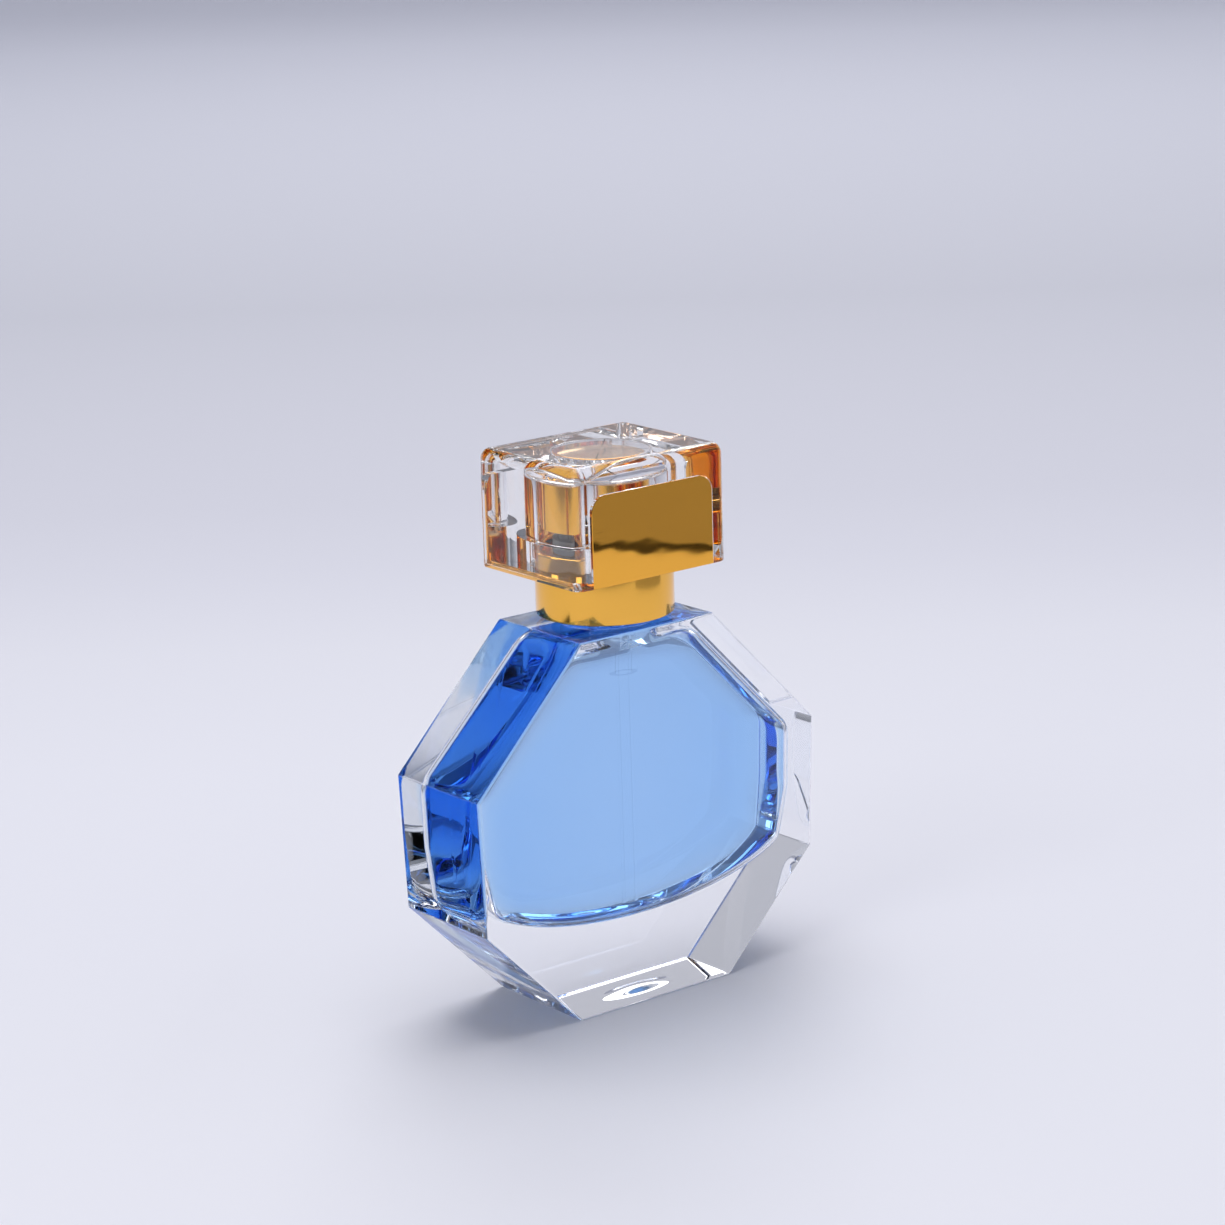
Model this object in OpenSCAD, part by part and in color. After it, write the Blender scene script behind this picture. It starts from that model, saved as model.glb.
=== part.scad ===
/* [Glass body] */
// Width across the two upper side corners
body_w = 62; // [52:0.5:76]
// How far each lower side corner lies inside the upper one
low_tuck = 0.8; // [0:0.1:3]
// Depth from front face to back face
body_d = 19.2; // [18:0.2:26]
// Height from the foot to the flat shoulder
body_h = 55.8; // [46:0.2:70]
// Width of the flat shoulder
top_w = 24.2; // [22:0.2:34]
// Width of the flat foot
foot_w = 28; // [18:0.2:40]
// Height of the lower side corners
low_z = 16.4; // [10:0.2:22]
// Height of the upper side corners
high_z = 36.4; // [26:0.2:42]
// Polished bevel along every outer edge
edge_bevel = 0.4; // [0.2:0.1:1]

/* [Hollow] */
// Glass thickness of the front and back walls
face_wall = 3.4; // [2:0.1:4.5]
// Glass thickness at the sides
side_wall = 2.6; // [1.8:0.1:5]
// Glass thickness between shoulder and hollow
shoulder_wall = 2.4; // [2:0.1:6]
// Thickness of the heavy glass foot at its middle
foot_wall = 12.2; // [7:0.1:16]
// Rounding of the blown hollow
hollow_r = 3.4; // [2:0.1:4.5]
// Height that the hollow's curved floor rises at its sides
floor_rise = 10; // [5:0.1:12]
// Length of the oval recess under the foot
punt_l = 15; // [8:0.2:17]
// Width of the oval recess under the foot
punt_w = 9; // [5:0.2:11]
// Depth of the oval recess under the foot
punt_depth = 1; // [0.4:0.1:2]

/* [Neck finish] */
// Height of the neck above the shoulder
neck_h = 8.2; // [7.4:0.1:9.4]
// Diameter of the neck below its bead
neck_d = 13.2; // [12.6:0.1:13.6]
// Diameter of the bead that the ferrule is crimped under
bead_d = 15; // [14.6:0.1:15.4]
// Height of the bead
bead_h = 3.4; // [2.6:0.1:3.8]
// Room round the pump housing in the neck's bore
bore_room = 0.5; // [0.2:0.05:0.7]

/* [Pump] */
// How far the button travels
stroke = 3.6; // [2.5:0.1:3.8]
// Thickness of the neck gasket
gasket_t = 0.7; // [0.5:0.1:1]
// Thickness of the housing's flange
flange_t = 0.9; // [0.8:0.1:1.2]
// Wall of the aluminium ferrule
ferrule_t = 0.35; // [0.3:0.05:0.5]
// Outer diameter of the pump housing
housing_d = 8.6; // [8:0.1:8.9]
// Bore of the pump chamber
chamber_d = 6.4; // [6:0.1:6.8]
// Diameter of the stem
stem_d = 3; // [2.6:0.1:3.2]
// Diameter of the hole through the stem
stem_hole_d = 1; // [0.8:0.1:1.2]
// Height of the turret above the ferrule
turret_h = 2.1; // [1.5:0.1:2.4]
// Diameter of the turret above the ferrule
turret_d = 6.4; // [5.6:0.1:6.6]
// Wire diameter of the return spring
wire_d = 0.36; // [0.3:0.02:0.4]
// Turns of the return spring
spring_turns = 5; // [4:1:6]
// Diameter of the check-valve ball
ball_d = 2; // [1.6:0.1:2.2]
// Outer diameter of the dip tube
tube_d = 2.6; // [2.2:0.1:2.8]
// Bore of the dip tube
tube_bore = 1.6; // [1:0.1:1.8]

/* [Collar] */
// Width of the flat step round the collar
step_w = 1.3; // [0.8:0.1:2]
// Height of the collar that shows under the cap
collar_h = 6.6; // [5.8:0.1:6.8]
// Gap between shoulder and collar
collar_gap = 1; // [0.8:0.1:1.4]
// Room between the ferrule and the collar's metal
ferrule_room = 0.48; // [0.2:0.02:0.8]
// Metal thickness of the collar and the button's skin
skin_t = 0.35; // [0.25:0.05:0.4]

/* [Button] */
// Outer diameter of the spray button
button_d = 12.8; // [12:0.1:13]
// Height of the spray button
button_h = 6.8; // [6.4:0.1:7]
// Diameter of the nozzle insert
insert_d = 3.8; // [3.4:0.1:4]
// Diameter of the spray hole
spray_hole_d = 0.3; // [0.25:0.05:0.4]

/* [Cap] */
// Width of the cap block
cap_w = 27.4; // [24:0.1:34]
// Wall of the cap block at the front and back of its socket
cap_wall = 2.2; // [1.2:0.1:5]
// Thickness of clear block above the spray button
cap_roof = 3.4; // [2.4:0.1:8]
// Rounding of the cap block's edges
cap_round = 1.7; // [1:0.1:2.6]
// Distance from the top of the gold saddle's plates to the top of the block
saddle_drop = 4.2; // [3:0.1:9]
// Distance from the saddle's edge to the block's end
saddle_inset = 2.8; // [1.5:0.1:4]
// Thickness of the gold saddle
saddle_t = 0.7; // [0.5:0.05:0.8]
// Rounding of the saddle's upper corners
saddle_round = 2.4; // [0.8:0.1:3]
// Wall of the liner that grips the collar's step
liner_t = 0.5; // [0.4:0.05:0.55]

/* [Hidden] */

round_fn = 96;      // facets that stand for a true circle
soft_fn = 32;       // facets of the balls, cones and rods inside a hull
seat_gap = 0.02;    // between two pieces that are pressed together
fill_gap = 0.04;    // between the glass and the perfume
run_gap = 0.05;     // between two pieces that turn or slide on each other
cut = 0.5;          // how far a cutter runs past the face it opens
stop_gap = 0.2;     // between two pieces that meet at the end of a travel
clear_gap = 0.4;    // between pieces that pass each other

// Heights of the neck and of what sits on it
lip_z = body_h + neck_h;
bead_z = lip_z - bead_h;
flange_z = lip_z + gasket_t;
top_z = flange_z + flange_t;
ferrule_z = top_z + ferrule_t;
ferrule_d = bead_d + 2 * (ferrule_t + seat_gap);
flange_drop = 0.3;  // how far the flange's edge lies inside the bead's
flange_d = bead_d - 2 * flange_drop;
bore_d = housing_d + 2 * bore_room;

// Turret: a plug in the chamber's mouth, with a shoulder that the ferrule holds down
plug_l = 2.2;
shoulder_t = 0.5;
shoulder_w = 1.1;
shoulder_d = max(turret_d, chamber_d) + 2 * shoulder_w;
turret_low_z = top_z - plug_l;
turret_top_z = ferrule_z + turret_h;
seal_t = 0.8;
seal_w = 0.9;
seal_d = stem_d + 2 * seal_w;

// Piston and stem hang under the turret, and the spring stands under the stem's flange
piston_h = 1.9;
port_share = 0.8;
wiper_h = 0.5;
wiper_t = 0.4;
piston_z = turret_low_z - run_gap - piston_h;
stem_flange_t = 0.6;
stem_flange_room = 0.6;
stem_flange_d = chamber_d - 2 * stem_flange_room;
stem_low_z = piston_z - seat_gap - stem_flange_t;
spring_slack = 0.08;
spring_h = stroke + spring_turns * wire_d + spring_slack;
spring_mean_d = stem_flange_d - wire_d - stop_gap;
chamber_z = stem_low_z - spring_h;

// Check valve: the ball sits on the edge of a hole, under a cage rim that keeps it in
ball_play = 0.5;
ball_room = 0.15;
ball_seat_share = 0.6;
ball_hold_share = 0.8;
cage_t = 0.3;
cage_d = ball_d + 2 * ball_room;
seat_t = 0.6;
ball_seat_d = ball_d * ball_seat_share;
ball_hold_d = ball_d * ball_hold_share;
cage_z = chamber_z - cage_t;
ball_hold_drop = sqrt(pow(ball_d / 2, 2) - pow(ball_hold_d / 2, 2));
ball_seat_drop = sqrt(pow(ball_d / 2, 2) - pow(ball_seat_d / 2, 2));
ball_z = cage_z - ball_hold_drop - ball_play - run_gap;
seat_z = ball_z - ball_seat_drop - seat_gap / 2;
housing_low_z = seat_z - seat_t;

// Dip tube, pressed into the nipple and reaching nearly to the hollow's floor
nipple_h = 4.4;
nipple_wall = 1;
nipple_d = tube_d + 2 * nipple_wall;
nipple_z = housing_low_z - nipple_h;
tube_top_z = housing_low_z - seat_gap;
tube_floor_gap = 1;
tube_low_z = foot_wall + tube_floor_gap;

// Spray button: a core under a metal skin, with a nozzle insert pressed over a post
button_z = ferrule_z + stroke + clear_gap;
button_top_z = button_z + button_h;
core_d = button_d - 2 * (skin_t + seat_gap);
core_top_z = button_top_z - skin_t - seat_gap;
hollow_top_z = turret_top_z + stroke + clear_gap;
turret_room = 0.8;
hollow_d = turret_d + 2 * turret_room;
channel_d = 0.7;
channel_rim = 0.1;
insert_l = 2.2;
insert_end_t = 0.7;
insert_wall = 0.7;
insert_rim = 0.6;
pocket_l = insert_l + stop_gap;
post_d = insert_d - 2 * insert_wall;
post_end_y = -button_d / 2 + skin_t / 2 + insert_end_t + seat_gap;
insert_z = core_top_z - insert_d / 2 - insert_rim;
channel_z = insert_z + insert_d / 2 - channel_d / 2 - channel_rim;
stem_top_z = channel_z - channel_d / 2 - channel_rim;

// Collar: a wide skirt, a step, and a neck whose lip turns in over the ferrule
collar_z = body_h + collar_gap;
step_z = collar_z + collar_h;
lip_room = 0.5;
step_top_z = ferrule_z + lip_room + skin_t;
step_d = ferrule_d + 2 * (ferrule_room + skin_t);
collar_d = step_d + 2 * step_w;
sleeve_d = collar_d - 2 * (skin_t + seat_gap);

// Cap: its socket and liner fit the collar's neck, and its bore clears the button
cap_z = step_z + stop_gap;
socket_d = step_d + 2 * run_gap;
liner_d = socket_d + 2 * liner_t;
liner_reach = 1.5;
liner_top_z = step_top_z + liner_reach;
cap_d = liner_d + 2 * cap_wall;
button_room = 1;
button_head = 0.8;
cap_bore_d = button_d + 2 * button_room;
cap_bore_z = button_top_z + button_head;
cap_top_z = cap_bore_z + cap_roof;
saddle_h = cap_top_z - cap_z - saddle_drop;

// Hollow of the bottle: half widths, ceiling and the spread of its curved floor
hollow_half_w = body_w / 2 - side_wall;
hollow_half_d = body_d / 2 - face_wall;
hollow_top = body_h - shoulder_wall;
floor_spread = [0, 0.3, 0.6, 0.82];
corner_step = 0.6;
corner_rise = floor_rise + corner_step;
core_least = 0.1;

// Outline of the glass, seen from the front: a flat eight-sided figure
low_x = body_w / 2 - low_tuck;
outline = [[-foot_w / 2, 0], [foot_w / 2, 0], [low_x, low_z], [body_w / 2, high_z],
    [top_w / 2, body_h], [-top_w / 2, body_h], [-body_w / 2, high_z], [-low_x, low_z]];

// Where a line offset inwards from the slanted shoulder meets the hollow's ceiling and side
slant = atan2(body_h - high_z, (body_w - top_w) / 2);
slant_shift = side_wall / sin(slant);
ceiling_x = top_w / 2 + (body_h - hollow_top) / tan(slant) - slant_shift;
side_z = body_h - (hollow_half_w - top_w / 2 + slant_shift) * tan(slant);

// Centres of the balls whose hull is the hollow, for its right half
ease_share = 0.4;
tuck_share = 0.25;
ease = hollow_r * ease_share;
floor_centres = [for (t = floor_spread)
    [t * hollow_half_w, foot_wall + hollow_r + floor_rise * (1 - sqrt(1 - t * t))]];
side_centres = [
    [hollow_half_w - hollow_r - tuck_share * low_tuck, foot_wall + hollow_r + corner_rise],
    [hollow_half_w - hollow_r, side_z - ease],
    [ceiling_x - ease, hollow_top - hollow_r]];
half_centres = concat(floor_centres, side_centres);

function mirrored(p) = [for (q = p) [-q[0], q[1]]];

module tube(d, bore, z_low, z_high) {
    difference() {
        translate([0, 0, z_low]) cylinder(d = d, h = z_high - z_low, $fn = round_fn);
        translate([0, 0, z_low - cut])
            cylinder(d = bore, h = z_high - z_low + 2 * cut, $fn = round_fn);
    }
}

module rod(d, z_low, z_high) {
    translate([0, 0, z_low]) cylinder(d = d, h = z_high - z_low, $fn = round_fn);
}

module slab(depth, inset) {
    rotate([90, 0, 0]) linear_extrude(height = depth, center = true)
        offset(delta = -inset) polygon(outline);
}

// The blown hollow, one rounded form smaller than the glass by its walls
module hollow_form(gap) {
    depth_shift = max(hollow_half_d - hollow_r, core_least);
    hull() for (p = concat(half_centres, mirrored(half_centres)), side = [-1, 1])
        translate([p[0], side * depth_shift, p[1]]) sphere(r = hollow_r - gap, $fn = soft_fn);
}

module punt() {
    reach = (punt_l - punt_w) / 2;
    hull() for (side = [-1, 1]) translate([side * reach, 0, -punt_depth])
        cylinder(d1 = punt_w + punt_depth, d2 = punt_w - punt_depth, h = 2 * punt_depth, $fn = soft_fn);
}

module bottle_glass() {
    color([0.93, 0.95, 0.98, 0.35]) difference() {
        union() {
            hull() {
                slab(body_d - 2 * edge_bevel, 0);
                slab(body_d, edge_bevel);
            }
            rod(neck_d, body_h - cut, lip_z);
            rod(bead_d, bead_z, lip_z);
        }
        hollow_form(0);
        rod(bore_d, hollow_top - hollow_r, lip_z + cut);
        punt();
    }
}

// The fill leaves room for the pump's lower end and the dip tube
module perfume_fill() {
    color([0.35, 0.6, 0.92, 0.8]) difference() {
        union() {
            hollow_form(fill_gap);
            rod(bore_d - 2 * fill_gap, hollow_top - hollow_r, body_h);
        }
        rod(housing_d + 2 * seat_gap, housing_low_z - seat_gap, body_h + cut);
        rod(nipple_d + 2 * seat_gap, nipple_z - seat_gap, body_h);
        rod(tube_d + 2 * seat_gap, tube_low_z - seat_gap, body_h);
    }
}

module neck_gasket() {
    color("dimgray")
        tube(flange_d, housing_d + 2 * seat_gap, lip_z + seat_gap, flange_z - seat_gap);
}

// A thin cup: flat top, straight skirt and an edge rolled in under the bead
module crimp_ferrule() {
    roll_z = bead_z - seat_gap;
    color("goldenrod") union() {
        tube(ferrule_d, turret_d + 2 * run_gap, top_z + seat_gap, ferrule_z);
        tube(ferrule_d, bead_d + 2 * seat_gap, roll_z - ferrule_t, ferrule_z - ferrule_t / 2);
        tube(ferrule_d, neck_d + 2 * clear_gap, roll_z - ferrule_t, roll_z);
    }
}

module pump_housing() {
    color([0.9, 0.93, 0.96, 0.6]) difference() {
        union() {
            rod(flange_d, flange_z, top_z);
            rod(housing_d, housing_low_z, top_z);
            rod(nipple_d, nipple_z, top_z);
        }
        rod(shoulder_d + 2 * seat_gap, top_z - shoulder_t - seat_gap, top_z + cut);
        rod(chamber_d, chamber_z, top_z + cut);
        rod(ball_hold_d, cage_z - cut, chamber_z + cut);
        rod(cage_d, seat_z, cage_z);
        rod(ball_seat_d, housing_low_z - cut, seat_z + cut);
        rod(tube_d + 2 * seat_gap, nipple_z - cut, tube_top_z + seat_gap);
    }
}

module pump_turret() {
    color("white") difference() {
        union() {
            rod(chamber_d - 2 * seat_gap, turret_low_z, top_z);
            rod(shoulder_d, top_z - shoulder_t, top_z);
            rod(turret_d, top_z - shoulder_t, turret_top_z);
        }
        rod(stem_d + 2 * run_gap, turret_low_z - cut, turret_top_z + cut);
        rod(seal_d + 2 * seat_gap, turret_low_z - cut, turret_low_z + seal_t);
    }
}

module stem_seal() {
    color("dimgray") tube(seal_d, stem_d + 2 * run_gap, turret_low_z + seat_gap,
        turret_low_z + seal_t - seat_gap);
}

module pump_stem() {
    port_z = piston_z + piston_h / 2;
    port_d = stem_hole_d * port_share;
    color("white") difference() {
        union() {
            rod(stem_d, stem_low_z, stem_top_z);
            rod(stem_flange_d, stem_low_z, stem_low_z + stem_flange_t);
        }
        rod(stem_hole_d, port_z - stem_hole_d / 2, stem_top_z + cut);
        translate([0, 0, port_z]) rotate([90, 0, 0])
            cylinder(d = port_d, h = stem_d + cut, center = true, $fn = round_fn);
    }
}

// A ring with two thin lips that wipe the chamber wall
module pump_piston() {
    wipe_d = chamber_d - 2 * run_gap;
    color("white") difference() {
        rod(wipe_d, piston_z, piston_z + piston_h);
        rod(stem_d + 2 * run_gap, piston_z - cut, piston_z + piston_h + cut);
        difference() {
            rod(chamber_d, piston_z + wiper_h, piston_z + piston_h - wiper_h);
            rod(wipe_d - 2 * wiper_t, piston_z, piston_z + piston_h);
        }
    }
}

// Eight-sided wire swept up a helix that stands on the chamber floor
module return_spring() {
    sides = 8;
    turn_steps = 16;
    steps = spring_turns * turn_steps;
    r = spring_mean_d / 2;
    low = chamber_z + wire_d / 2 + seat_gap;
    rise = spring_h - wire_d - 2 * seat_gap;
    points = [for (i = [0 : steps], j = [0 : sides - 1])
        let (a = i / steps * spring_turns * 360, b = j / sides * 360,
            ring = r + wire_d / 2 * cos(b))
        [ring * cos(a), ring * sin(a), low + rise * i / steps + wire_d / 2 * sin(b)]];
    walls = [for (i = [0 : steps - 1], j = [0 : sides - 1])
        let (k = (j + 1) % sides)
        [i * sides + j, (i + 1) * sides + j, (i + 1) * sides + k, i * sides + k]];
    ends = [[for (j = [0 : sides - 1]) j], [for (j = [sides - 1 : -1 : 0]) steps * sides + j]];
    color("silver") polyhedron(points, concat(walls, ends));
}

module inlet_ball() {
    color("lightgray") translate([0, 0, ball_z]) sphere(d = ball_d, $fn = round_fn);
}

module dip_tube() {
    color([0.9, 0.95, 1, 0.5]) tube(tube_d, tube_bore, tube_low_z, tube_top_z);
}

module collar_sleeve() {
    color("dimgray") tube(sleeve_d, ferrule_d + 2 * seat_gap, collar_z + clear_gap,
        step_z - skin_t - seat_gap);
}

// Drawn metal: a wide skirt, a flat step, a narrower neck and a lip turned in over the ferrule
module collar_shell() {
    inner_step_d = step_d - 2 * skin_t;
    color("goldenrod") union() {
        tube(collar_d, collar_d - 2 * skin_t, collar_z, step_z);
        tube(collar_d, inner_step_d, step_z - skin_t, step_z);
        tube(step_d, inner_step_d, step_z - skin_t, step_top_z);
        tube(step_d, button_d + 2 * clear_gap, step_top_z - skin_t, step_top_z);
    }
}

module actuator() {
    pocket_end_y = pocket_l - core_d / 2;
    color("white") difference() {
        rod(core_d, button_z, core_top_z);
        rod(hollow_d, button_z - cut, hollow_top_z);
        rod(stem_d + 2 * seat_gap, hollow_top_z - cut, stem_top_z + seat_gap);
        rod(channel_d, stem_top_z, channel_z);
        translate([0, 0, channel_z]) rotate([90, 0, 0])
            cylinder(d = channel_d, h = core_d / 2 - insert_l, $fn = round_fn);
        translate([0, pocket_end_y, insert_z]) rotate([90, 0, 0]) difference() {
            cylinder(d = insert_d + 2 * seat_gap, h = pocket_l + cut, $fn = round_fn);
            translate([0, 0, -cut])
                cylinder(d = post_d, h = pocket_end_y - post_end_y + cut, $fn = round_fn);
        }
    }
}

module actuator_shell() {
    color("goldenrod") difference() {
        rod(button_d, button_z, button_top_z);
        rod(button_d - 2 * skin_t, button_z - cut, button_top_z - skin_t);
        translate([0, 0, insert_z]) rotate([90, 0, 0])
            cylinder(d = insert_d + 2 * seat_gap, h = button_d, $fn = round_fn);
    }
}

// A small cup pressed over the post, with the spray hole in its end
module spray_insert() {
    face_y = -button_d / 2 + skin_t / 2;
    color("white") translate([0, face_y, insert_z]) rotate([-90, 0, 0]) difference() {
        cylinder(d = insert_d, h = insert_l, $fn = round_fn);
        translate([0, 0, insert_end_t])
            cylinder(d = post_d + 2 * seat_gap, h = insert_l, $fn = round_fn);
        translate([0, 0, -cut]) cylinder(d = spray_hole_d, h = insert_l, $fn = round_fn);
    }
}

// Outer form of the cap: a block with rounded upright edges and rounded top edges
module cap_form() {
    x = cap_w / 2 - cap_round;
    y = cap_d / 2 - cap_round;
    hull() for (sx = [-1, 1], sy = [-1, 1]) translate([sx * x, sy * y, 0]) {
        translate([0, 0, cap_z]) cylinder(r = cap_round, h = cap_round, $fn = soft_fn);
        translate([0, 0, cap_top_z - cap_round]) sphere(r = cap_round, $fn = soft_fn);
    }
}

// A flat plate, standing, with its two upper corners rounded
module saddle_plate(w, h, t) {
    translate([-w / 2, -t / 2, 0]) cube([w, t, h - saddle_round]);
    translate([saddle_round - w / 2, -t / 2, 0]) cube([w - 2 * saddle_round, t, h]);
    for (side = [-1, 1]) translate([side * (w / 2 - saddle_round), 0, h - saddle_round])
        rotate([90, 0, 0]) cylinder(r = saddle_round, h = t, center = true, $fn = round_fn);
}

// The gold U: front plate, web under the block and back plate. grow is the room round it
module saddle_form(grow) {
    w = cap_w - 2 * saddle_inset + 2 * grow;
    t = saddle_t + grow;
    for (side = [-1, 1]) translate([0, side * (cap_d / 2 - t / 2), cap_z - grow])
        saddle_plate(w, saddle_h + 2 * grow, t);
    translate([-w / 2, -cap_d / 2, cap_z - grow]) cube([w, cap_d, t + grow]);
}

module cap_block() {
    color([0.95, 0.96, 0.98, 0.35]) difference() {
        cap_form();
        saddle_form(seat_gap);
        rod(liner_d + 2 * seat_gap, cap_z - cut, liner_top_z + seat_gap);
        rod(cap_bore_d, cap_z, cap_bore_z);
    }
}

module cap_saddle() {
    color("goldenrod") difference() {
        saddle_form(0);
        rod(socket_d + 2 * clear_gap, cap_z - cut, cap_z + saddle_t + cut);
    }
}

module cap_liner() {
    color([0.95, 0.95, 0.95, 0.5])
        tube(liner_d, socket_d, cap_z + saddle_t + seat_gap, liner_top_z);
}

bottle_glass();
perfume_fill();
neck_gasket();
crimp_ferrule();
pump_housing();
pump_turret();
stem_seal();
pump_stem();
pump_piston();
return_spring();
inlet_ball();
dip_tube();
collar_sleeve();
collar_shell();
actuator();
actuator_shell();
spray_insert();
cap_block();
cap_liner();
cap_saddle();
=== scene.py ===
import math

import bpy
import numpy as np
from mathutils import Matrix, Vector


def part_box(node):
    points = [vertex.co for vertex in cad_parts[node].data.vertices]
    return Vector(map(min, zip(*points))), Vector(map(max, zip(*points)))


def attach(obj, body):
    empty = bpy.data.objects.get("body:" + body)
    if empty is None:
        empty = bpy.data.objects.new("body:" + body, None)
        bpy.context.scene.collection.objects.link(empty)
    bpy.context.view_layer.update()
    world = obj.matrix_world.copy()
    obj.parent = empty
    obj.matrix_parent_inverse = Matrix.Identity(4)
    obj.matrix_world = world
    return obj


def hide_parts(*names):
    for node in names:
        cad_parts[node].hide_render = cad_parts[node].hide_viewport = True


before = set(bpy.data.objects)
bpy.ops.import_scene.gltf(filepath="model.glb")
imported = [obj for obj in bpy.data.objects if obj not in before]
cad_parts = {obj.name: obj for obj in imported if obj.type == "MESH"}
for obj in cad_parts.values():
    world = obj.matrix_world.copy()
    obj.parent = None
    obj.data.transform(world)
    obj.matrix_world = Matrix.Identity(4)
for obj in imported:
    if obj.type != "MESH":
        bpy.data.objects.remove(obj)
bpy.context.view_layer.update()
scene = bpy.context.scene
mm = 0.001

# Camera: a long lens 504 mm from the bottle, 38 degrees to its left and 15 degrees above,
# leaning by under two degrees. The lens is 103 mm on a 36 mm sensor, all of it sharp.
azimuth, elevation, lean = math.radians(-38.25), math.radians(14.7), math.radians(-1.69)
distance, aim = 0.5043, Vector((0.00129, 0, 0.05599))
back = Vector((math.sin(azimuth) * math.cos(elevation),
               -math.cos(azimuth) * math.cos(elevation), math.sin(elevation)))
right = Vector((math.cos(azimuth), math.sin(azimuth), 0))
up = back.cross(right)
turn = Matrix((right, up, back)).transposed() @ Matrix.Rotation(lean, 3, "Z")
lens = bpy.data.cameras.new("camera")
lens.lens, lens.sensor_width, lens.clip_start = 102.9, 36, 0.01
camera = bpy.data.objects.new("camera", lens)
camera.matrix_world = Matrix.Translation(aim + back * distance) @ turn.to_4x4()
scene.collection.objects.link(camera)
scene.camera = camera
scene.cycles.max_bounces = 40
scene.cycles.transmission_bounces = 36
scene.cycles.glossy_bounces = 12
scene.cycles.diffuse_bounces = 3
scene.cycles.transparent_max_bounces = 64
scene.cycles.caustics_refractive = True
scene.cycles.caustics_reflective = False
scene.cycles.sample_clamp_indirect = 6
scene.cycles.use_denoising = True
scene.view_settings.view_transform = "Standard"
scene.view_settings.look = "None"


# Table and backdrop: one pale sweep of paper, turned to face the camera. It lies flat under the
# bottle and rises in a wide curve behind it. Its matt colour holds painted shade and painted light:
# darkest some 0.6 m behind the bottle, paler again further back where the lamps' light falls off.
def grid_mesh(name, points):
    """Open skin over a grid of points: face (i, j) joins rows i and i + 1 at columns j and j + 1."""
    rows, columns = points.shape[:2]
    i, j = np.meshgrid(np.arange(rows - 1), np.arange(columns - 1), indexing="ij")
    corner = i * columns + j
    faces = np.stack([corner, corner + 1, corner + columns + 1, corner + columns],
                     -1).reshape(-1, 4)
    mesh = bpy.data.meshes.new(name)
    mesh.from_pydata(points.reshape(-1, 3).tolist(), [], faces.tolist())
    mesh.shade_smooth()
    piece = bpy.data.objects.new(name, mesh)
    scene.collection.objects.link(piece)
    return piece


def new_material(name):
    """A node material, its node tree and its principled shader."""
    material = bpy.data.materials.new(name)
    material.use_nodes = True
    tree = material.node_tree
    return material, tree, tree.nodes["Principled BSDF"]


sweep_flat, sweep_radius, sweep_up = 1.7, 0.4, 0.02
sweep_half, sweep_front = 2.4, 0.42
flat_rows, bend_rows, wall_rows, sweep_columns = 40, 24, 8, 60
run = np.concatenate([np.linspace(-sweep_front, sweep_flat, flat_rows),
                      np.full(bend_rows + wall_rows, sweep_flat)])
bend = np.concatenate([np.zeros(flat_rows), np.linspace(0, math.pi / 2, bend_rows),
                       np.full(wall_rows, math.pi / 2)])
rise = np.concatenate([np.zeros(flat_rows + bend_rows), np.linspace(0, sweep_up, wall_rows)])
along = run + sweep_radius * np.sin(bend)
height = sweep_radius * (1 - np.cos(bend)) + rise
across = np.linspace(-sweep_half, sweep_half, sweep_columns)
x, s = np.meshgrid(across, along)
z = np.repeat(height[:, None], sweep_columns, 1)
ca, sa = math.cos(azimuth), math.sin(azimuth)
floor = grid_mesh("paper_sweep", np.stack([x * ca - s * sa, x * sa + s * ca, z], -1))
paper, tree, shader = new_material("pale_paper")
shader.inputs["Roughness"].default_value = 0.75
where = tree.nodes.new("ShaderNodeTexCoord")
depth = tree.nodes.new("ShaderNodeVectorMath")
depth.operation = "DOT_PRODUCT"
depth.inputs[1].default_value = (-sa, ca, 0)
tree.links.new(where.outputs["Object"], depth.inputs[0])
# Painted shade and painted light: this ramp darkens the paper towards 0.6 m behind the bottle and
# pales it again further back
painted_shading = tree.nodes.new("ShaderNodeValToRGB")
painted_shading_start, painted_shading_end = -0.2, 1.8
span = tree.nodes.new("ShaderNodeMapRange")
span.inputs["From Min"].default_value = painted_shading_start
span.inputs["From Max"].default_value = painted_shading_end
tree.links.new(depth.outputs["Value"], span.inputs["Value"])
tree.links.new(span.outputs["Result"], painted_shading.inputs["Fac"])
painted_shading.color_ramp.elements[0].position = 0.0
painted_shading.color_ramp.elements[0].color = (0.86, 0.855, 0.91, 1)
painted_shading.color_ramp.elements[1].position = 1.0
painted_shading.color_ramp.elements[1].color = (0.88, 0.89, 0.98, 1)
for place, colour in ((0.077, (0.82, 0.82, 0.875, 1)), (0.118, (0.79, 0.79, 0.85, 1)),
                      (0.155, (0.78, 0.78, 0.84, 1)), (0.195, (0.74, 0.74, 0.80, 1)),
                      (0.23, (0.67, 0.67, 0.74, 1)), (0.26, (0.63, 0.63, 0.70, 1)),
                      (0.40, (0.57, 0.575, 0.64, 1)), (0.83, (0.85, 0.86, 0.95, 1))):
    painted_shading.color_ramp.elements.new(place).color = colour
grain = tree.nodes.new("ShaderNodeTexNoise")
grain.inputs["Scale"].default_value = 60
tree.links.new(where.outputs["Object"], grain.inputs["Vector"])
tooth = tree.nodes.new("ShaderNodeBump")
tooth.inputs["Strength"].default_value = 0.02
tooth.inputs["Distance"].default_value = 0.0002
tree.links.new(grain.outputs["Fac"], tooth.inputs["Height"])
tree.links.new(tooth.outputs["Normal"], shader.inputs["Normal"])
tree.links.new(painted_shading.outputs["Color"], shader.inputs["Base Color"])
floor.data.materials.append(paper)

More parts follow.
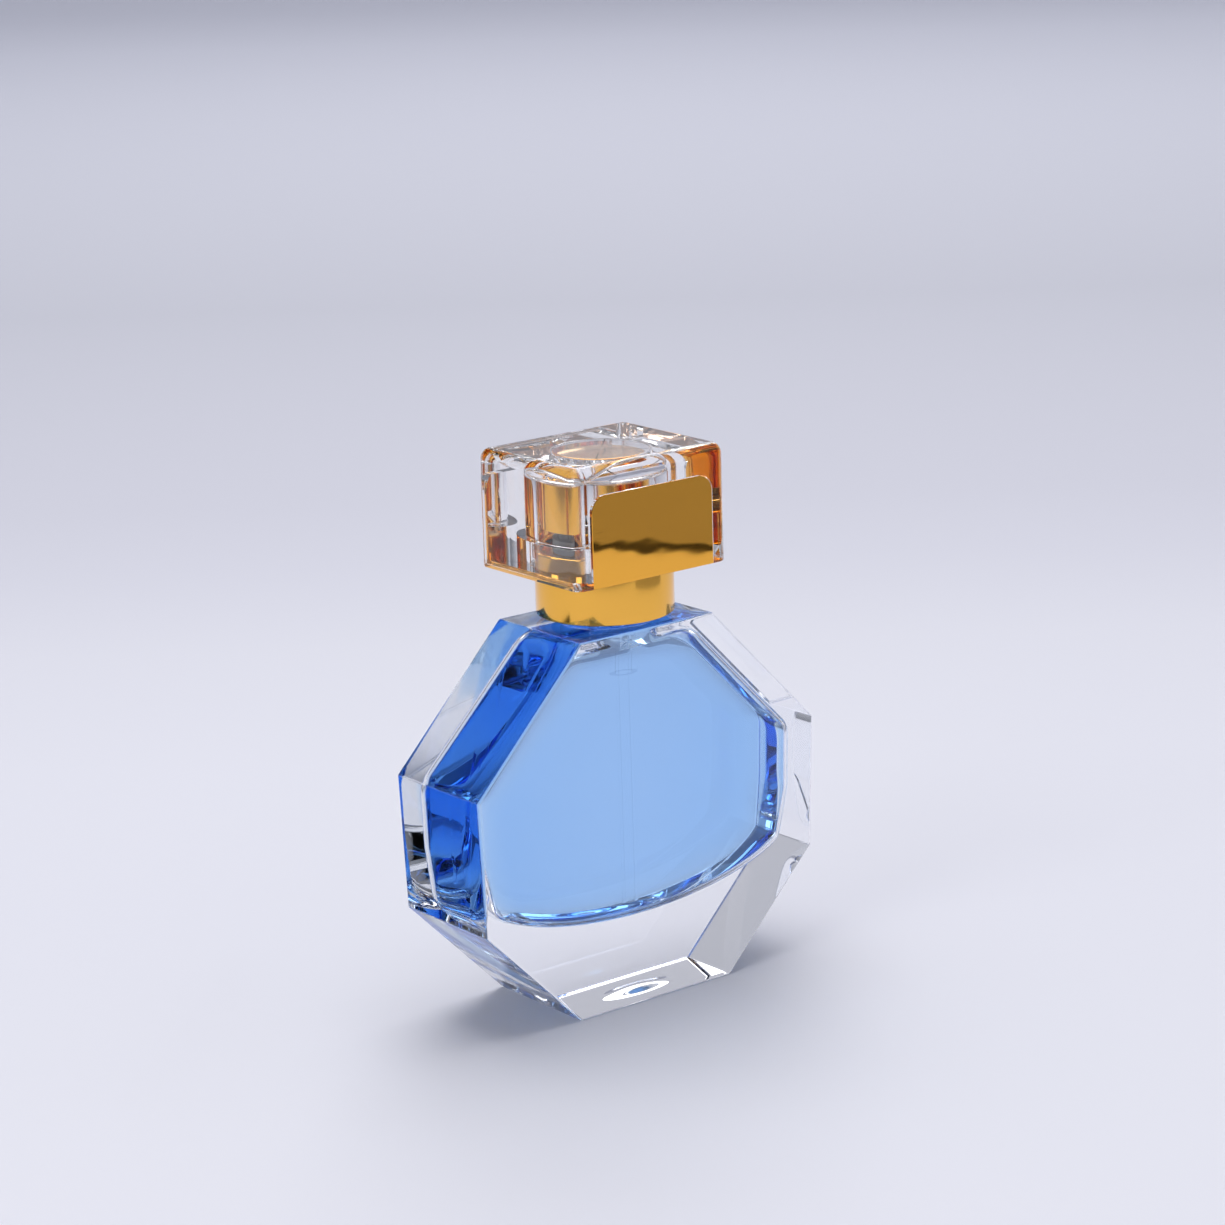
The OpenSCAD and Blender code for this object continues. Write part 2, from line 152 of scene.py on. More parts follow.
# Light: a wide softbox above, a second behind on the right and a weak third on the left, in a pale
# surround that darkens away from them. Four cards give the glass and gold something to mirror.
world = bpy.data.worlds.new("surround")
scene.world = world
world.use_nodes = True
sky = world.node_tree
ways = sky.nodes.new("ShaderNodeTexCoord")
facing = sky.nodes.new("ShaderNodeVectorMath")
facing.operation = "DOT_PRODUCT"
facing.inputs[1].default_value = (0.48, 0.62, 0.62)
sky.links.new(ways.outputs["Generated"], facing.inputs[0])
tone = sky.nodes.new("ShaderNodeValToRGB")
tone.color_ramp.elements[0].position, tone.color_ramp.elements[1].position = 0.0, 0.75
tone.color_ramp.elements[0].color = (0.20, 0.21, 0.25, 1)
tone.color_ramp.elements[1].color = (0.66, 0.67, 0.75, 1)
sky.links.new(facing.outputs["Value"], tone.inputs["Fac"])
sky.links.new(tone.outputs["Color"], sky.nodes["Background"].inputs["Color"])
sky.nodes["Background"].inputs["Strength"].default_value = 0.8


def softbox(name, place, size, power):
    """A square light at place, facing the bottle's middle."""
    light = bpy.data.lights.new(name, "AREA")
    light.shape, light.size, light.energy = "SQUARE", size, power
    lamp = bpy.data.objects.new(name, light)
    lamp.location = place
    aimed = Vector((0, 0, 0.04)) - Vector(place)
    lamp.rotation_euler = aimed.to_track_quat("-Z", "Y").to_euler()
    scene.collection.objects.link(lamp)


softbox("softbox_top", (0.1, 0.15, 1.3), 1.0, 8.6)
softbox("softbox_back", (0.75, 0.85, 1.0), 0.7, 3.9)
softbox("softbox_left", (-1.1, -0.2, 0.8), 0.6, 2.3)
# Each card: how pale, the middle of its foot line, that line's direction, half length, two heights
for name, shade, middle, side, half, bottom, top in (
        ("black_strip", 0.01, (0.1715, -0.2240), (0.71, 0.70), 0.14, 0.0003, 0.0030),
        ("grey_card", 0.46, (0.1722, -0.2247), (0.71, 0.70), 0.14, 0.0030, 0.12),
        ("dark_low", 0.03, (-0.056, 0.030), (0.77, 0.63), 0.03, 0.0003, 0.028),
        ("dark_high", 0.03, (-0.056, 0.083), (0.83, 0.56), 0.13, 0.085, 0.17)):
    card_paint, tree, shader = new_material(name)
    shader.inputs["Base Color"].default_value = (shade, shade, shade * 1.05, 1)
    shader.inputs["Roughness"].default_value = 0.9
    u, v = np.meshgrid(np.linspace(-half, half, 2), np.linspace(bottom, top, 2))
    card = grid_mesh(name, np.stack([middle[0] + u * side[0], middle[1] + u * side[1], v], -1))
    card.data.materials.append(card_paint)
    card.visible_camera = card.visible_diffuse = card.visible_shadow = False
    card.visible_transmission = False


# Glass body: one pressed, fire-polished block of clear glass, 62 mm wide, 19.2 mm deep and 55.8 mm
# to the flat shoulder, eight-sided from the front, with a screwless crimp neck 13.2 mm wide and a
# 15 mm bead. One closed skin: foot with its oval punt, facets, shoulder, neck, lip, bore, hollow.
def ring_skin(name, rings, loop=False):
    """Closed skin over a stack of rings of points; a fan about the mean of its points closes each
    end ring, or the last ring joins the first where the stack is a loop."""
    count, places = rings.shape[:2]
    i, j = np.meshgrid(np.arange(count if loop else count - 1), np.arange(places), indexing="ij")
    i_next, j_next = (i + 1) % count, (j + 1) % places
    quads = np.stack([i * places + j, i * places + j_next,
                      i_next * places + j_next, i_next * places + j], -1).reshape(-1, 4).tolist()
    points = rings.reshape(-1, 3)
    if not loop:
        points = np.concatenate([points, [rings[0].mean(0)], [rings[-1].mean(0)]])
        j = np.arange(places)
        j_next, last = (j + 1) % places, (count - 1) * places
        quads += np.stack([j_next, j, np.full(places, count * places)], -1).tolist()
        quads += np.stack([last + j, last + j_next, np.full(places, count * places + 1)],
                          -1).tolist()
    mesh = bpy.data.meshes.new(name)
    mesh.from_pydata(points.tolist(), [], quads)
    mesh.shade_smooth()
    piece = bpy.data.objects.new(name, mesh)
    scene.collection.objects.link(piece)
    return piece


def whole_ring(quarter_x, quarter_y):
    """Four mirrored copies of a quarter outline that runs from (0, -y) to (x, 0), as one ring."""
    x = np.concatenate([quarter_x[..., :-1], quarter_x[..., :0:-1],
                        -quarter_x[..., :-1], -quarter_x[..., :0:-1]], -1)
    y = np.concatenate([quarter_y[..., :-1], -quarter_y[..., :0:-1],
                        -quarter_y[..., :-1], quarter_y[..., :0:-1]], -1)
    return x, y


def inset(chain, by):
    """The right half outline moved inwards: p - by (n1 + n2) / (1 + n1 . n2) at each corner."""
    chain = np.asarray(chain, float)
    step = np.diff(chain, axis=0)
    normal = np.stack([step[:, 1], -step[:, 0]], -1) / np.hypot(*step.T)[:, None]
    before = np.concatenate([normal[:1], normal])
    after = np.concatenate([normal, normal[-1:]])
    return chain - by * (before + after) / (1 + (before * after).sum(-1))[:, None]


def half_width(chain, z, grow):
    """Largest x at height z of the outline grown by grow: the widest of its edges moved out by
    grow along their normals and of its corners' discs, u + sqrt(grow^2 - (z - v)^2)."""
    z, grow = np.broadcast_arrays(z, grow)
    widest = np.zeros(z.shape)
    for u, v in chain:
        reach = np.sqrt(np.clip(grow ** 2 - (z - v) ** 2, 0, None))
        widest = np.maximum(widest, np.where(abs(z - v) <= grow + 1e-9, u + reach, 0))
    for (u0, v0), (u1, v1) in zip(chain[:-1], chain[1:]):
        if v1 - v0 > 1e-6:
            length = math.hypot(u1 - u0, v1 - v0)
            share = (z - v0 + (u1 - u0) / length * grow) / (v1 - v0)
            edge = u0 + (v1 - v0) / length * grow + share * (u1 - u0)
            widest = np.maximum(widest, np.where((share >= 0) & (share <= 1), edge, 0))
    return widest


def pillow_rings(chain, core_y, radius, z):
    """Level sections of a flat outline, core_y thick each way, grown by a ball of that radius:
    at edge angle a the section passes x = half_width(z, radius sin a), y = core_y + radius cos a."""
    z = np.asarray(z, float)[:, None]
    beyond = np.maximum(np.maximum(chain[0][1] - z, z - chain[-1][1]), 0)
    start = np.arcsin(np.clip(beyond / radius, 0, 1))
    arc_count, flat_count, side_count, near = 10, 12, 6, 0.05
    a = start + (math.pi / 2 - start) * np.linspace(0, 1, arc_count)
    arc_x, arc_y = half_width(chain, z, radius * np.sin(a)), core_y + radius * np.cos(a)
    flat = arc_x[:, :1] * np.linspace(0, 1, flat_count)[:-1]
    flat = np.concatenate([flat, arc_x[:, :1] - np.minimum(near, arc_x[:, :1] / 20)], -1)
    side = core_y * np.linspace(1, 0, side_count)[1:]
    side = np.concatenate([[core_y - near], side])
    quarter_x = np.concatenate([flat, arc_x, np.repeat(arc_x[:, -1:], side_count, 1)], -1)
    quarter_y = -np.concatenate([np.repeat(arc_y[:, :1], flat_count, 1), arc_y,
                                 np.repeat(side[None], len(z), 0)], -1)
    x, y = whole_ring(quarter_x, quarter_y)
    return np.stack([x, y, np.repeat(z, x.shape[1], 1)], -1)


def between(ring_a, ring_b, shares):
    """Rings at the given shares of the straight way from ring_a to ring_b."""
    shares = np.asarray(shares, float)[:, None, None]
    return ring_a + (ring_b - ring_a) * shares


def round_rings(profile, angles):
    """A profile of (radius, height) points turned about the upright axis."""
    profile = np.asarray(profile, float)
    radius, height = profile[:, :1], profile[:, 1:]
    return np.stack([radius * np.cos(angles), radius * np.sin(angles),
                     np.repeat(height, len(angles), 1)], -1)


def arc(centre, radius, start, end, count):
    """Points of an arc in the (radius, height) plane, angles in degrees."""
    a = np.radians(np.linspace(start, end, count))
    return np.stack([centre[0] + radius * np.cos(a), centre[1] + radius * np.sin(a)], -1)


edge, half_depth, shoulder_z = 0.4, 9.6, 55.8
outline = [(0, 0), (14, 0), (30.2, 16.4), (31, 36.4), (12.1, shoulder_z), (0, shoulder_z)]
core = inset(outline, edge)
bevel_levels = edge * (1 - np.sin(np.radians([86, 70, 54, 38, 20, 0])))
levels, guard = [*bevel_levels, 2 * edge], 0.1
for (_, v), low, high in ((core[2], -0.70, -0.04), (core[3], -0.04, 0.70)):
    levels += [v + edge * low - guard] + [v + edge * c for c in np.linspace(low, high, 6)]
    levels += [v + edge * high + guard]
levels += [shoulder_z - 2 * edge, *(shoulder_z - bevel_levels[::-1])]
outer = pillow_rings(core, half_depth - edge, edge, levels)
angles = np.arctan2(outer[-1, :, 1], outer[-1, :, 0])
punt_share = np.array([0.02, 0.12, 0.22, 0.32, 0.42, 0.52, 0.62, 0.72, 0.81, 0.89, 0.95, 1.0])
punt_x, punt_y, punt_deep = 7.5, 4.5, 0.6
oval = np.stack([punt_x * np.cos(angles), punt_y * np.sin(angles), np.zeros(len(angles))], -1)
punt = oval * punt_share[:, None, None]
punt[..., 2] = punt_deep * (1 - punt_share[:, None] ** 2) ** 2
foot = between(oval, outer[0], [0.06, 0.5, 0.97])
foot[..., 2] = outer[0, 0, 2]
neck = np.concatenate([
    arc((7.3, 56.5), 0.7, 270, 180, 6), [(6.6, 57.0), (6.6, 60.1)],
    arc((7.0, 60.2), 0.4, 180, 90, 4), arc((7.2, 60.9), 0.3, 270, 360, 4),
    arc((6.9, 63.4), 0.6, 0, 90, 6), arc((5.2, 63.6), 0.4, 90, 180, 5), [(4.8, 62.8)]])
shoulder = between(outer[-1], round_rings(neck[:1], angles)[0], [0.03, 0.3, 0.6, 0.9])
neck_rings = round_rings(neck, angles)

# The hollow: floor curve, side corners and ceiling of its core, in x and z
hollow_r, hollow_y, hollow_x = 3.4, 2.8, 28.4
floor_z, floor_rise, ceiling_z = 15.6, 10, 50.0
spread = np.linspace(0, 0.82, 14)
hollow = [(0, floor_z), (2.5, floor_z)]
hollow += [(t * hollow_x, floor_z + floor_rise * (1 - math.sqrt(1 - t * t))) for t in spread[2:]]
hollow += [(24.8, 26.2), (25.0, 33.98), (9.45, ceiling_z), (0, ceiling_z)]
sag, level = 0.16, 55.9


def ceiling_height(x, y, radius):
    """Top of the hollow above (x, y): the highest v + sqrt(r^2 - (x - u)^2) over core points
    (u, v), with r = sqrt(radius^2 - (y - core)^2) beyond the core's depth."""
    corner = np.array(hollow[-3:])
    share = np.linspace(0, 1, 300)[:, None]
    steps = np.concatenate([corner[0] + share * (corner[1] - corner[0]),
                            corner[1] + share * (corner[2] - corner[1])])
    r = np.sqrt(radius ** 2 - np.clip(abs(y) - hollow_y, 0, None) ** 2)[..., None]
    reach = r ** 2 - (abs(x)[..., None] - steps[:, 0]) ** 2
    return np.where(reach >= 0, steps[:, 1] + np.sqrt(np.clip(reach, 0, None)), 0).max(-1)


def hollow_rings(grow, bore_top):
    """Rings down the bore, round its lower edge, out over the ceiling and down to the floor. The
    inner faces sag a little: depth grows towards the sides by 1 + sag (x / hollow_x)^2."""
    radius, bore, fillet = hollow_r + grow, 4.8 + grow, 1.0
    a = np.linspace(0, math.pi / 2, 7)[:, None]
    wide = bore + fillet * (1 - np.cos(a))
    x, y = wide * np.cos(angles), wide * np.sin(angles)
    z = ceiling_height(x, y, radius) + fillet * (1 - np.sin(a))
    edge_rings = np.stack([x, y, z], -1)
    heights = [[z] for z in (bore_top, 59.0, level, 55.0) if z <= bore_top]
    wall = edge_rings[:1].repeat(len(heights), 0)
    wall[..., 2] = np.array(heights)
    body = pillow_rings(hollow, hollow_y, radius, np.concatenate([
        np.arange(51.0, 20, -0.5),
        floor_z - hollow_r - grow + 7.8 * np.linspace(1, 0.02, 26) ** 2]))
    roof = between(edge_rings[-1], body[0], [0.12, 0.3, 0.5, 0.7, 0.85, 0.95])
    roof[..., 2] = ceiling_height(roof[..., 0], roof[..., 1], radius)
    for part in (roof, body):
        part[..., 1] *= 1 + sag * (part[..., 0] / hollow_x) ** 2
    return np.concatenate([wall, edge_rings, roof, body])


dry = np.concatenate([punt, foot, outer, shoulder, neck_rings])
glass = ring_skin("glass_body", mm * np.concatenate([dry, hollow_rings(0, 62.4)]))
clear_glass, tree, shader = new_material("polished_glass")
shader.inputs["Base Color"].default_value = (0.985, 0.99, 1.0, 1)
shader.inputs["Roughness"].default_value = 0.0
glass_ior, perfume_ior = 1.55, 1.345
shader.inputs["IOR"].default_value = glass_ior
shader.inputs["Transmission Weight"].default_value = 1.0


def ripple(tree, shader, scale, strength, distance, stretch=(1, 1, 1), detail=2.0):
    """Fine waves on a surface: object coordinates, stretched, into noise, into the normal."""
    where = tree.nodes.new("ShaderNodeTexCoord")
    size = tree.nodes.new("ShaderNodeMapping")
    size.inputs["Scale"].default_value = stretch
    noise = tree.nodes.new("ShaderNodeTexNoise")
    noise.inputs["Scale"].default_value = scale
    noise.inputs["Detail"].default_value = detail
    bump = tree.nodes.new("ShaderNodeBump")
    bump.inputs["Strength"].default_value = strength
    bump.inputs["Distance"].default_value = distance
    tree.links.new(where.outputs["Object"], size.inputs["Vector"])
    tree.links.new(size.outputs["Vector"], noise.inputs["Vector"])
    tree.links.new(noise.outputs["Fac"], bump.inputs["Height"])
    tree.links.new(bump.outputs["Normal"], shader.inputs["Normal"])
    return noise


ripple(tree, shader, 22, 0.012, 0.0004, detail=0.0)
wet_glass, tree, shader = new_material("wetted_glass")
shader.inputs["Base Color"].default_value = (1, 1, 1, 1)
shader.inputs["Roughness"].default_value = 0.0
shader.inputs["IOR"].default_value = glass_ior / perfume_ior
shader.inputs["Transmission Weight"].default_value = 1.0
ripple(tree, shader, 45, 0.05, 0.0006, stretch=(1, 1, 2.5), detail=1.0)
glass.data.materials.append(clear_glass)
glass.data.materials.append(wet_glass)
places, rings_above_level = dry.shape[1], 2
quads = (len(glass.data.vertices) - 2) // places - 1
ring_of_face = np.concatenate([np.repeat(np.arange(quads), places), np.zeros(places),
                               np.full(places, quads)])
wetted = ring_of_face >= len(dry) + rings_above_level
glass.data.polygons.foreach_set("material_index", wetted.astype(int))
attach(glass, "bottle")
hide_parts("bottle_glass")

# Perfume: pale blue, water-thin, filling the whole hollow and the neck's bore up to the shoulder.
# The wetted glass bends the light at their one shared border, so this skin, 0.05 mm into the glass,
# bends hardly any. Blue comes from what the liquid absorbs on the way: red most, green less.
into_glass = 0.05
fill = hollow_rings(into_glass, level)[::-1]
surface = fill[-1:] * np.array([0.5, 0.5, 1])
perfume = ring_skin("perfume", mm * np.concatenate([fill, surface]))
blue_perfume, tree, shader = new_material("perfume_liquid")
shader.inputs["Base Color"].default_value = (1, 1, 1, 1)
shader.inputs["Roughness"].default_value = 0.0
shader.inputs["IOR"].default_value = 1.001
shader.inputs["Transmission Weight"].default_value = 1.0
tint = tree.nodes.new("ShaderNodeVolumeAbsorption")
tint.inputs["Color"].default_value = (0.032, 0.543, 0.969, 1)
tint.inputs["Density"].default_value = 72
tree.links.new(tint.outputs["Volume"], tree.nodes["Material Output"].inputs["Volume"])
perfume.data.materials.append(blue_perfume)
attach(perfume, "bottle")
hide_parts("perfume_fill")


# Pump: clear housing, dip tube, white inner parts, steel spring, glass ball and rubber seals, all
# CAD nodes. What stands in the perfume is given almost no bending of light, so it hardly shows.
def plain_finish(name, colour, roughness, metallic=0.0, clear=0.0, ior=1.5, grain=400,
                 strength=0.05):
    """A material with a noise-varied roughness and a fine ripple."""
    material, tree, shader = new_material(name)
    shader.inputs["Base Color"].default_value = (*colour, 1)
    shader.inputs["Metallic"].default_value = metallic
    shader.inputs["Transmission Weight"].default_value = clear
    shader.inputs["IOR"].default_value = ior
    noise = ripple(tree, shader, grain, strength, 0.00005)
    spread = tree.nodes.new("ShaderNodeMapRange")
    spread.inputs["To Min"].default_value = roughness * 0.8
    spread.inputs["To Max"].default_value = roughness * 1.2
    tree.links.new(noise.outputs["Fac"], spread.inputs["Value"])
    tree.links.new(spread.outputs["Result"], shader.inputs["Roughness"])
    return material


def paint(node, material):
    """The material on every slot of a CAD node."""
    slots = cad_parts[node].data.materials
    slots.clear()
    slots.append(material)


sunk_plastic = plain_finish("sunk_plastic", (1, 1, 1), 0.0, clear=1.0, ior=1.012, strength=0.0)
white_plastic = plain_finish("moulded_white", (0.86, 0.86, 0.84), 0.35)
rubber = plain_finish("black_rubber", (0.05, 0.05, 0.05), 0.6)
painted_shade_plastic = plain_finish("painted_shade_black", (0.05, 0.05, 0.055), 0.3)
steel = plain_finish("drawn_steel", (0.62, 0.62, 0.62), 0.25, metallic=1.0)
for node in ("pump_housing", "dip_tube"):
    paint(node, sunk_plastic)
for node in ("pump_turret", "pump_stem", "pump_piston", "actuator", "spray_insert"):
    paint(node, white_plastic)
for node in ("neck_gasket", "stem_seal"):
    paint(node, rubber)
# Painted shade: the sleeve is painted near black so the space under the collar, seen through the
# neck, looks dark
paint("collar_sleeve", painted_shade_plastic)
paint("return_spring", steel)
paint("inlet_ball", sunk_plastic)

# Collar: thin aluminium, drawn and anodised gold, 20 mm wide, with a flat step and a narrower neck
# that the cap fits on. It is pressed over the crimped ferrule by a plastic sleeve inside it.
low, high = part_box("collar_shell")
collar_z, collar_top = low.z / mm, high.z / mm
collar_r, cap_gap, step_width = high.x / mm, 0.2, 1.3
step_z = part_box("cap_block")[0].z / mm - cap_gap
step_r = collar_r - step_width
lip_r, skin = 6.8, 0.35
even = np.linspace(0, 2 * math.pi, 128, endpoint=False)
collar = np.concatenate([
    arc((collar_r - 0.12, collar_z + 0.12), 0.12, 270, 360, 4),
    arc((collar_r - 0.3, step_z - 0.3), 0.3, 0, 90, 7),
    [(step_r + 0.25, step_z)], arc((step_r + 0.15, step_z + 0.15), 0.15, 270, 180, 4),
    arc((step_r - 0.3, collar_top - 0.3), 0.3, 0, 90, 6),
    [(lip_r + 0.05, collar_top)], [(lip_r, collar_top - 0.05)],
    [(lip_r, collar_top - skin)], [(step_r - skin, collar_top - skin)],
    [(step_r - skin, step_z - skin)], [(collar_r - skin, step_z - skin)],
    [(collar_r - skin, collar_z)]])
collar_piece = ring_skin("collar", mm * round_rings(collar, even), loop=True)
gold_colour = (0.96, 0.515, 0.087)
gold_anodised = plain_finish("anodised_gold", gold_colour, 0.13, metallic=1.0, grain=250,
                             strength=0.1)
collar_piece.data.materials.append(gold_anodised)
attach(collar_piece, "bottle")
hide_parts("collar_shell")
paint("crimp_ferrule", gold_anodised)
paint("actuator_shell", gold_anodised)

# Cap block: polished clear acrylic, 27.4 by 22.9 mm and 17.3 mm tall, its upright and top edges
# rounded 1.7 mm, with a round bore over the button and a wider socket for the liner below.
low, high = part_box("cap_block")
half_x, half_y, cap_low, cap_high = high.x / mm, high.y / mm, low.z / mm, high.z / mm
round_edge = 1.7


def block_rings(core_x, core_y, grow, z, slot_x, slot_y, slot_z):
    """Rounded rectangles, a core grown by grow, at heights z. Within slot_x of the middle the
    front and back lie at slot_y instead, and no lower than slot_z."""
    grow, z, slot_x, slot_y, slot_z = (
        np.asarray(v, float)[:, None] for v in (grow, z, slot_x, slot_y, slot_z))
    slot_count, flat_count, turn_count, side_count = 10, 3, 13, 10
    a = np.radians(np.linspace(0, 90, turn_count))
    near, thin = 0.05, 0.001
    slot = slot_x * np.linspace(0, 1, slot_count)
    flat = slot_x + thin + (core_x - near - slot_x - thin) * np.linspace(0, 1, flat_count)
    side = np.concatenate([[core_y - near], core_y * np.linspace(1, 0, side_count)[1:]])
    quarter_x = np.concatenate([slot, flat, core_x + grow * np.sin(a),
                                (core_x + grow) * np.ones(len(side))], -1)
    quarter_y = -np.concatenate([slot_y * np.ones(slot_count),
                                 (core_y + grow) * np.ones(flat_count),
                                 core_y + grow * np.cos(a), side * np.ones_like(grow)], -1)
    quarter_z = np.concatenate([slot_z * np.ones(slot_count),
                                z * np.ones(flat_count + turn_count + side_count)], -1)
    x, y = whole_ring(quarter_x, quarter_y)
    return np.stack([x, y, abs(whole_ring(quarter_z, quarter_z)[0])], -1)


low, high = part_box("cap_saddle")
saddle_x, saddle_low, saddle_high = high.x / mm, low.z / mm, high.z / mm
plate_t, corner, room = 0.7, 2.4, 0.02
slot_bottom = cap_low + plate_t + room
hair = 0.002    # between rings that would otherwise lie at one height
corner_a = np.radians(np.array([0, 12, 25, 38, 50, 62, 74, 85]))
foot_heights = [cap_low, cap_low + 0.04, cap_low + 0.15, cap_low + 0.3, cap_low + 2,
                saddle_high - 3]
heights = np.concatenate([
    foot_heights, saddle_high + room - corner + corner * np.sin(corner_a), [saddle_high + room],
    [saddle_high + room + hair, cap_high - round_edge - 0.05]])
widths = np.concatenate([np.full(len(foot_heights), saddle_x + room),
                         saddle_x + room - corner + corner * np.cos(corner_a),
                         [saddle_x - corner] * 3])
upright, beside_slot = len(heights), len(heights) - 2
lift = np.radians(np.array([0, 12, 24, 36, 48, 60, 70, 80, 87]))
grow = np.concatenate([[round_edge - 0.15, round_edge - 0.04], np.full(upright - 2, round_edge),
                       round_edge * np.cos(lift)])
rise = np.concatenate([heights, cap_high - round_edge + round_edge * np.sin(lift)])
core_x, core_y = half_x - round_edge, half_y - round_edge
slot_y = np.concatenate([np.full(beside_slot, half_y - plate_t - room), np.full(2, half_y),
                         core_y + grow[upright:]])
outside = block_rings(core_x, core_y, grow, rise,
                      np.concatenate([widths, np.full(len(lift), saddle_x - corner)]), slot_y,
                      np.maximum(rise, slot_bottom + hair * np.arange(len(rise))))
# The round bore is laid out by the directions of one ring of the block
turn_angles = np.arctan2(outside[8, :, 1], outside[8, :, 0])
in_slot = abs(abs(outside[0, :, 1]) - slot_y[0]) < 1e-6
inner = outside[:1].repeat(2, 0)
beyond = np.clip(abs(outside[0, :, 1]) / half_y, 0, 0.998) * np.sign(outside[0, :, 1])
inner[..., 0] = np.where(in_slot, inner[..., 0], (saddle_x + room) * np.sign(inner[..., 0]))
inner[..., 1] = np.where(in_slot, np.sign(inner[..., 1]) * (slot_y[0] - np.array([[0.03], [0.015]])),
                         beyond * (slot_y[0] - 0.03))
inner[0, :, 2] = slot_bottom
inner[1, :, 2] = np.where(in_slot, slot_bottom, cap_low)
socket_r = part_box("cap_liner")[1].x / mm + room
socket_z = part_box("cap_liner")[1].z / mm + room
button_room, button_head = 1.0, 0.8
bore_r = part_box("actuator_shell")[1].x / mm + button_room
bore_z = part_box("actuator_shell")[1].z / mm + button_head
bore = np.concatenate([
    arc((bore_r - 0.5, bore_z - 0.5), 0.5, 90, 0, 6), [(bore_r, socket_z + 0.3)],
    arc((bore_r + 0.15, socket_z + 0.15), 0.15, 180, 270, 4),
    [(socket_r - 0.05, socket_z)], [(socket_r, socket_z - 0.05)], [(socket_r, slot_bottom)]])
bore_rings = round_rings(bore, turn_angles)
ceiling = bore_rings[:1] * np.array([0.03, 0.5, 0.95])[:, None, None]
ceiling[..., 2] = bore_rings[0, 0, 2]
underside = between(bore_rings[-1], inner[0], [0.5])
lid = outside[-1:] * np.array([0.97, 0.6, 0.05])[:, None, None]
lid[..., 2] = outside[-1, :, 2].max()
block = ring_skin("cap_clear_block", mm * np.concatenate(
    [ceiling, bore_rings, underside, inner, outside, lid]))
block.data.set_sharp_from_angle(angle=math.radians(35))
clear_acrylic, tree, shader = new_material("polished_acrylic")
shader.inputs["Base Color"].default_value = (0.99, 0.99, 0.99, 1)
shader.inputs["Roughness"].default_value = 0.0
shader.inputs["IOR"].default_value = 1.49
shader.inputs["Transmission Weight"].default_value = 1.0
ripple(tree, shader, 30, 0.012, 0.0004, detail=0.0)
block.data.materials.append(clear_acrylic)
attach(block, "cap")
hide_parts("cap_block")

# Saddle: thin gold-plated metal bent to a U, let into the block flush with its front, underside
# and back. The plates are slightly uneven, so what they mirror is wavy.
soft = 0.12
top_angle = np.radians(np.linspace(0, 90, 12))
chamfer = 0.1
plate_right = np.concatenate([[(saddle_x, saddle_low + chamfer)], np.stack(
    [saddle_x - corner + corner * np.cos(top_angle),
     saddle_high - corner + corner * np.sin(top_angle)], -1)])
plate_line = np.concatenate([[(saddle_x - chamfer, saddle_low)], plate_right,
                             (plate_right * [-1, 1])[::-1], [(chamfer - saddle_x, saddle_low)]])
centre = np.array([0, (saddle_low + saddle_high) / 2])
away = plate_line - centre


def plate_rings(side):
    """The plate's outline at set depths and insets: flat back, rounded rim, and a last ring just
    inside the rim that keeps the face's shading flat."""
    rim = np.radians(np.linspace(0, 90, 5))
    inward = np.concatenate([[0, 0], soft * (1 - np.cos(rim))[1:], [soft + 0.03]])
    depth = np.concatenate([[0, plate_t - soft], plate_t - soft + soft * np.sin(rim)[1:],
                            [plate_t]])
    shrink = 1 - inward[:, None, None] / abs(away).max(0)
    line = centre + away * shrink
    y = side * (half_y - plate_t + depth)[:, None] * np.ones(len(plate_line))
    rings = np.stack([line[..., 0], y, line[..., 1]], -1)
    return rings if side < 0 else rings[:, ::-1]


def joined(name, pieces):
    """One object that holds the meshes of several."""
    with bpy.context.temp_override(active_object=pieces[0], selected_editable_objects=pieces):
        bpy.ops.object.join()
    pieces[0].name = pieces[0].data.name = name
    return pieces[0]


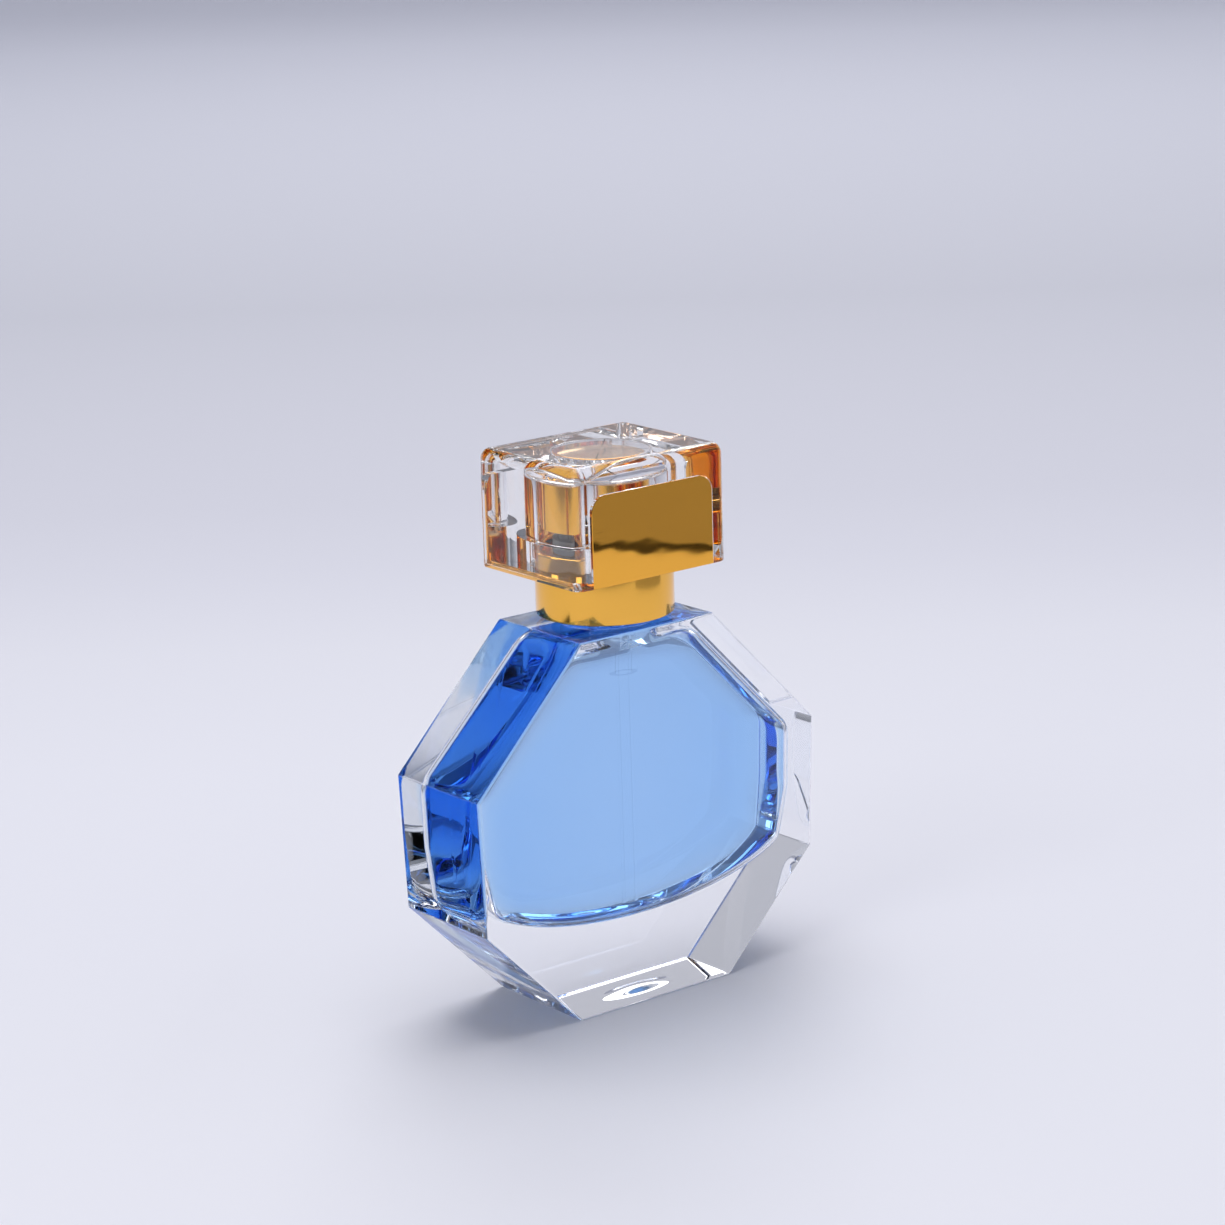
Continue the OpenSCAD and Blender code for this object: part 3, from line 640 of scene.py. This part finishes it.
liner_t, hole_room = 0.5, 0.4
hole_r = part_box("cap_liner")[1].x / mm - liner_t + hole_room
side_steps = 24
web_x, web_y = saddle_x - chamfer, half_y - chamfer
web_corner = np.array([(web_x, -web_y), (web_x, web_y), (-web_x, web_y), (-web_x, -web_y)])
share = np.linspace(0, 1, side_steps, endpoint=False)[:, None]
web_line = np.concatenate([a + share * (b - a) for a, b in zip(web_corner,
                                                               np.roll(web_corner, -1, 0))])
web_z = np.array([0, chamfer, plate_t - chamfer, plate_t])
web_scale = np.array([1, 1 + chamfer / saddle_x, 1 + chamfer / saddle_x, 1])
web_out = np.concatenate([web_line * web_scale[:, None, None],
                          saddle_low + web_z[:, None, None] * np.ones((1, len(web_line), 1))], -1)
web_angles = np.arctan2(web_line[:, 1], web_line[:, 0])
web_in = round_rings([(hole_r, saddle_low + plate_t), (hole_r, saddle_low)], web_angles)
saddle = joined("saddle", [
    ring_skin("plate_front", mm * plate_rings(-1)), ring_skin("plate_back", mm * plate_rings(1)),
    ring_skin("web", mm * np.concatenate([web_out, web_in]), loop=True)])
saddle.data.set_sharp_from_angle(angle=math.radians(35))
gold_plate, tree, shader = new_material("gold_plating")
shader.inputs["Base Color"].default_value = (0.99, 0.49, 0.07, 1)
shader.inputs["Metallic"].default_value = 1.0
shader.inputs["Roughness"].default_value = 0.035
wave = ripple(tree, shader, 90, 0.05, 0.0004, stretch=(1, 1, 1.5), detail=2.0)
crease = tree.nodes.new("ShaderNodeTexNoise")
crease.inputs["Scale"].default_value = 420
where = tree.nodes.new("ShaderNodeTexCoord")
tree.links.new(where.outputs["Object"], crease.inputs["Vector"])
split = tree.nodes.new("ShaderNodeSeparateXYZ")
tree.links.new(where.outputs["Object"], split.inputs["Vector"])
crease_start, crease_full, crease_share = 0.0715, 0.0765, 1.5
upper = tree.nodes.new("ShaderNodeMapRange")
upper.inputs["From Min"].default_value = crease_start
upper.inputs["From Max"].default_value = crease_full
upper.inputs["To Max"].default_value = crease_share
tree.links.new(split.outputs["Z"], upper.inputs["Value"])
height = tree.nodes.new("ShaderNodeMath")
height.operation = "MULTIPLY_ADD"
tree.links.new(crease.outputs["Fac"], height.inputs[0])
tree.links.new(upper.outputs["Result"], height.inputs[1])
tree.links.new(wave.outputs["Fac"], height.inputs[2])
for bump in [n for n in tree.nodes if n.bl_idname == "ShaderNodeBump"]:
    tree.links.new(height.outputs["Value"], bump.inputs["Height"])
saddle.data.materials.append(gold_plate)
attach(saddle, "cap")
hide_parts("cap_saddle")

# Liner: a thin clear plastic ring inside the cap's socket, which grips the collar's neck.
liner_plastic = plain_finish("liner_plastic", (0.95, 0.95, 0.95), 0.05, clear=1.0, ior=1.49)
paint("cap_liner", liner_plastic)
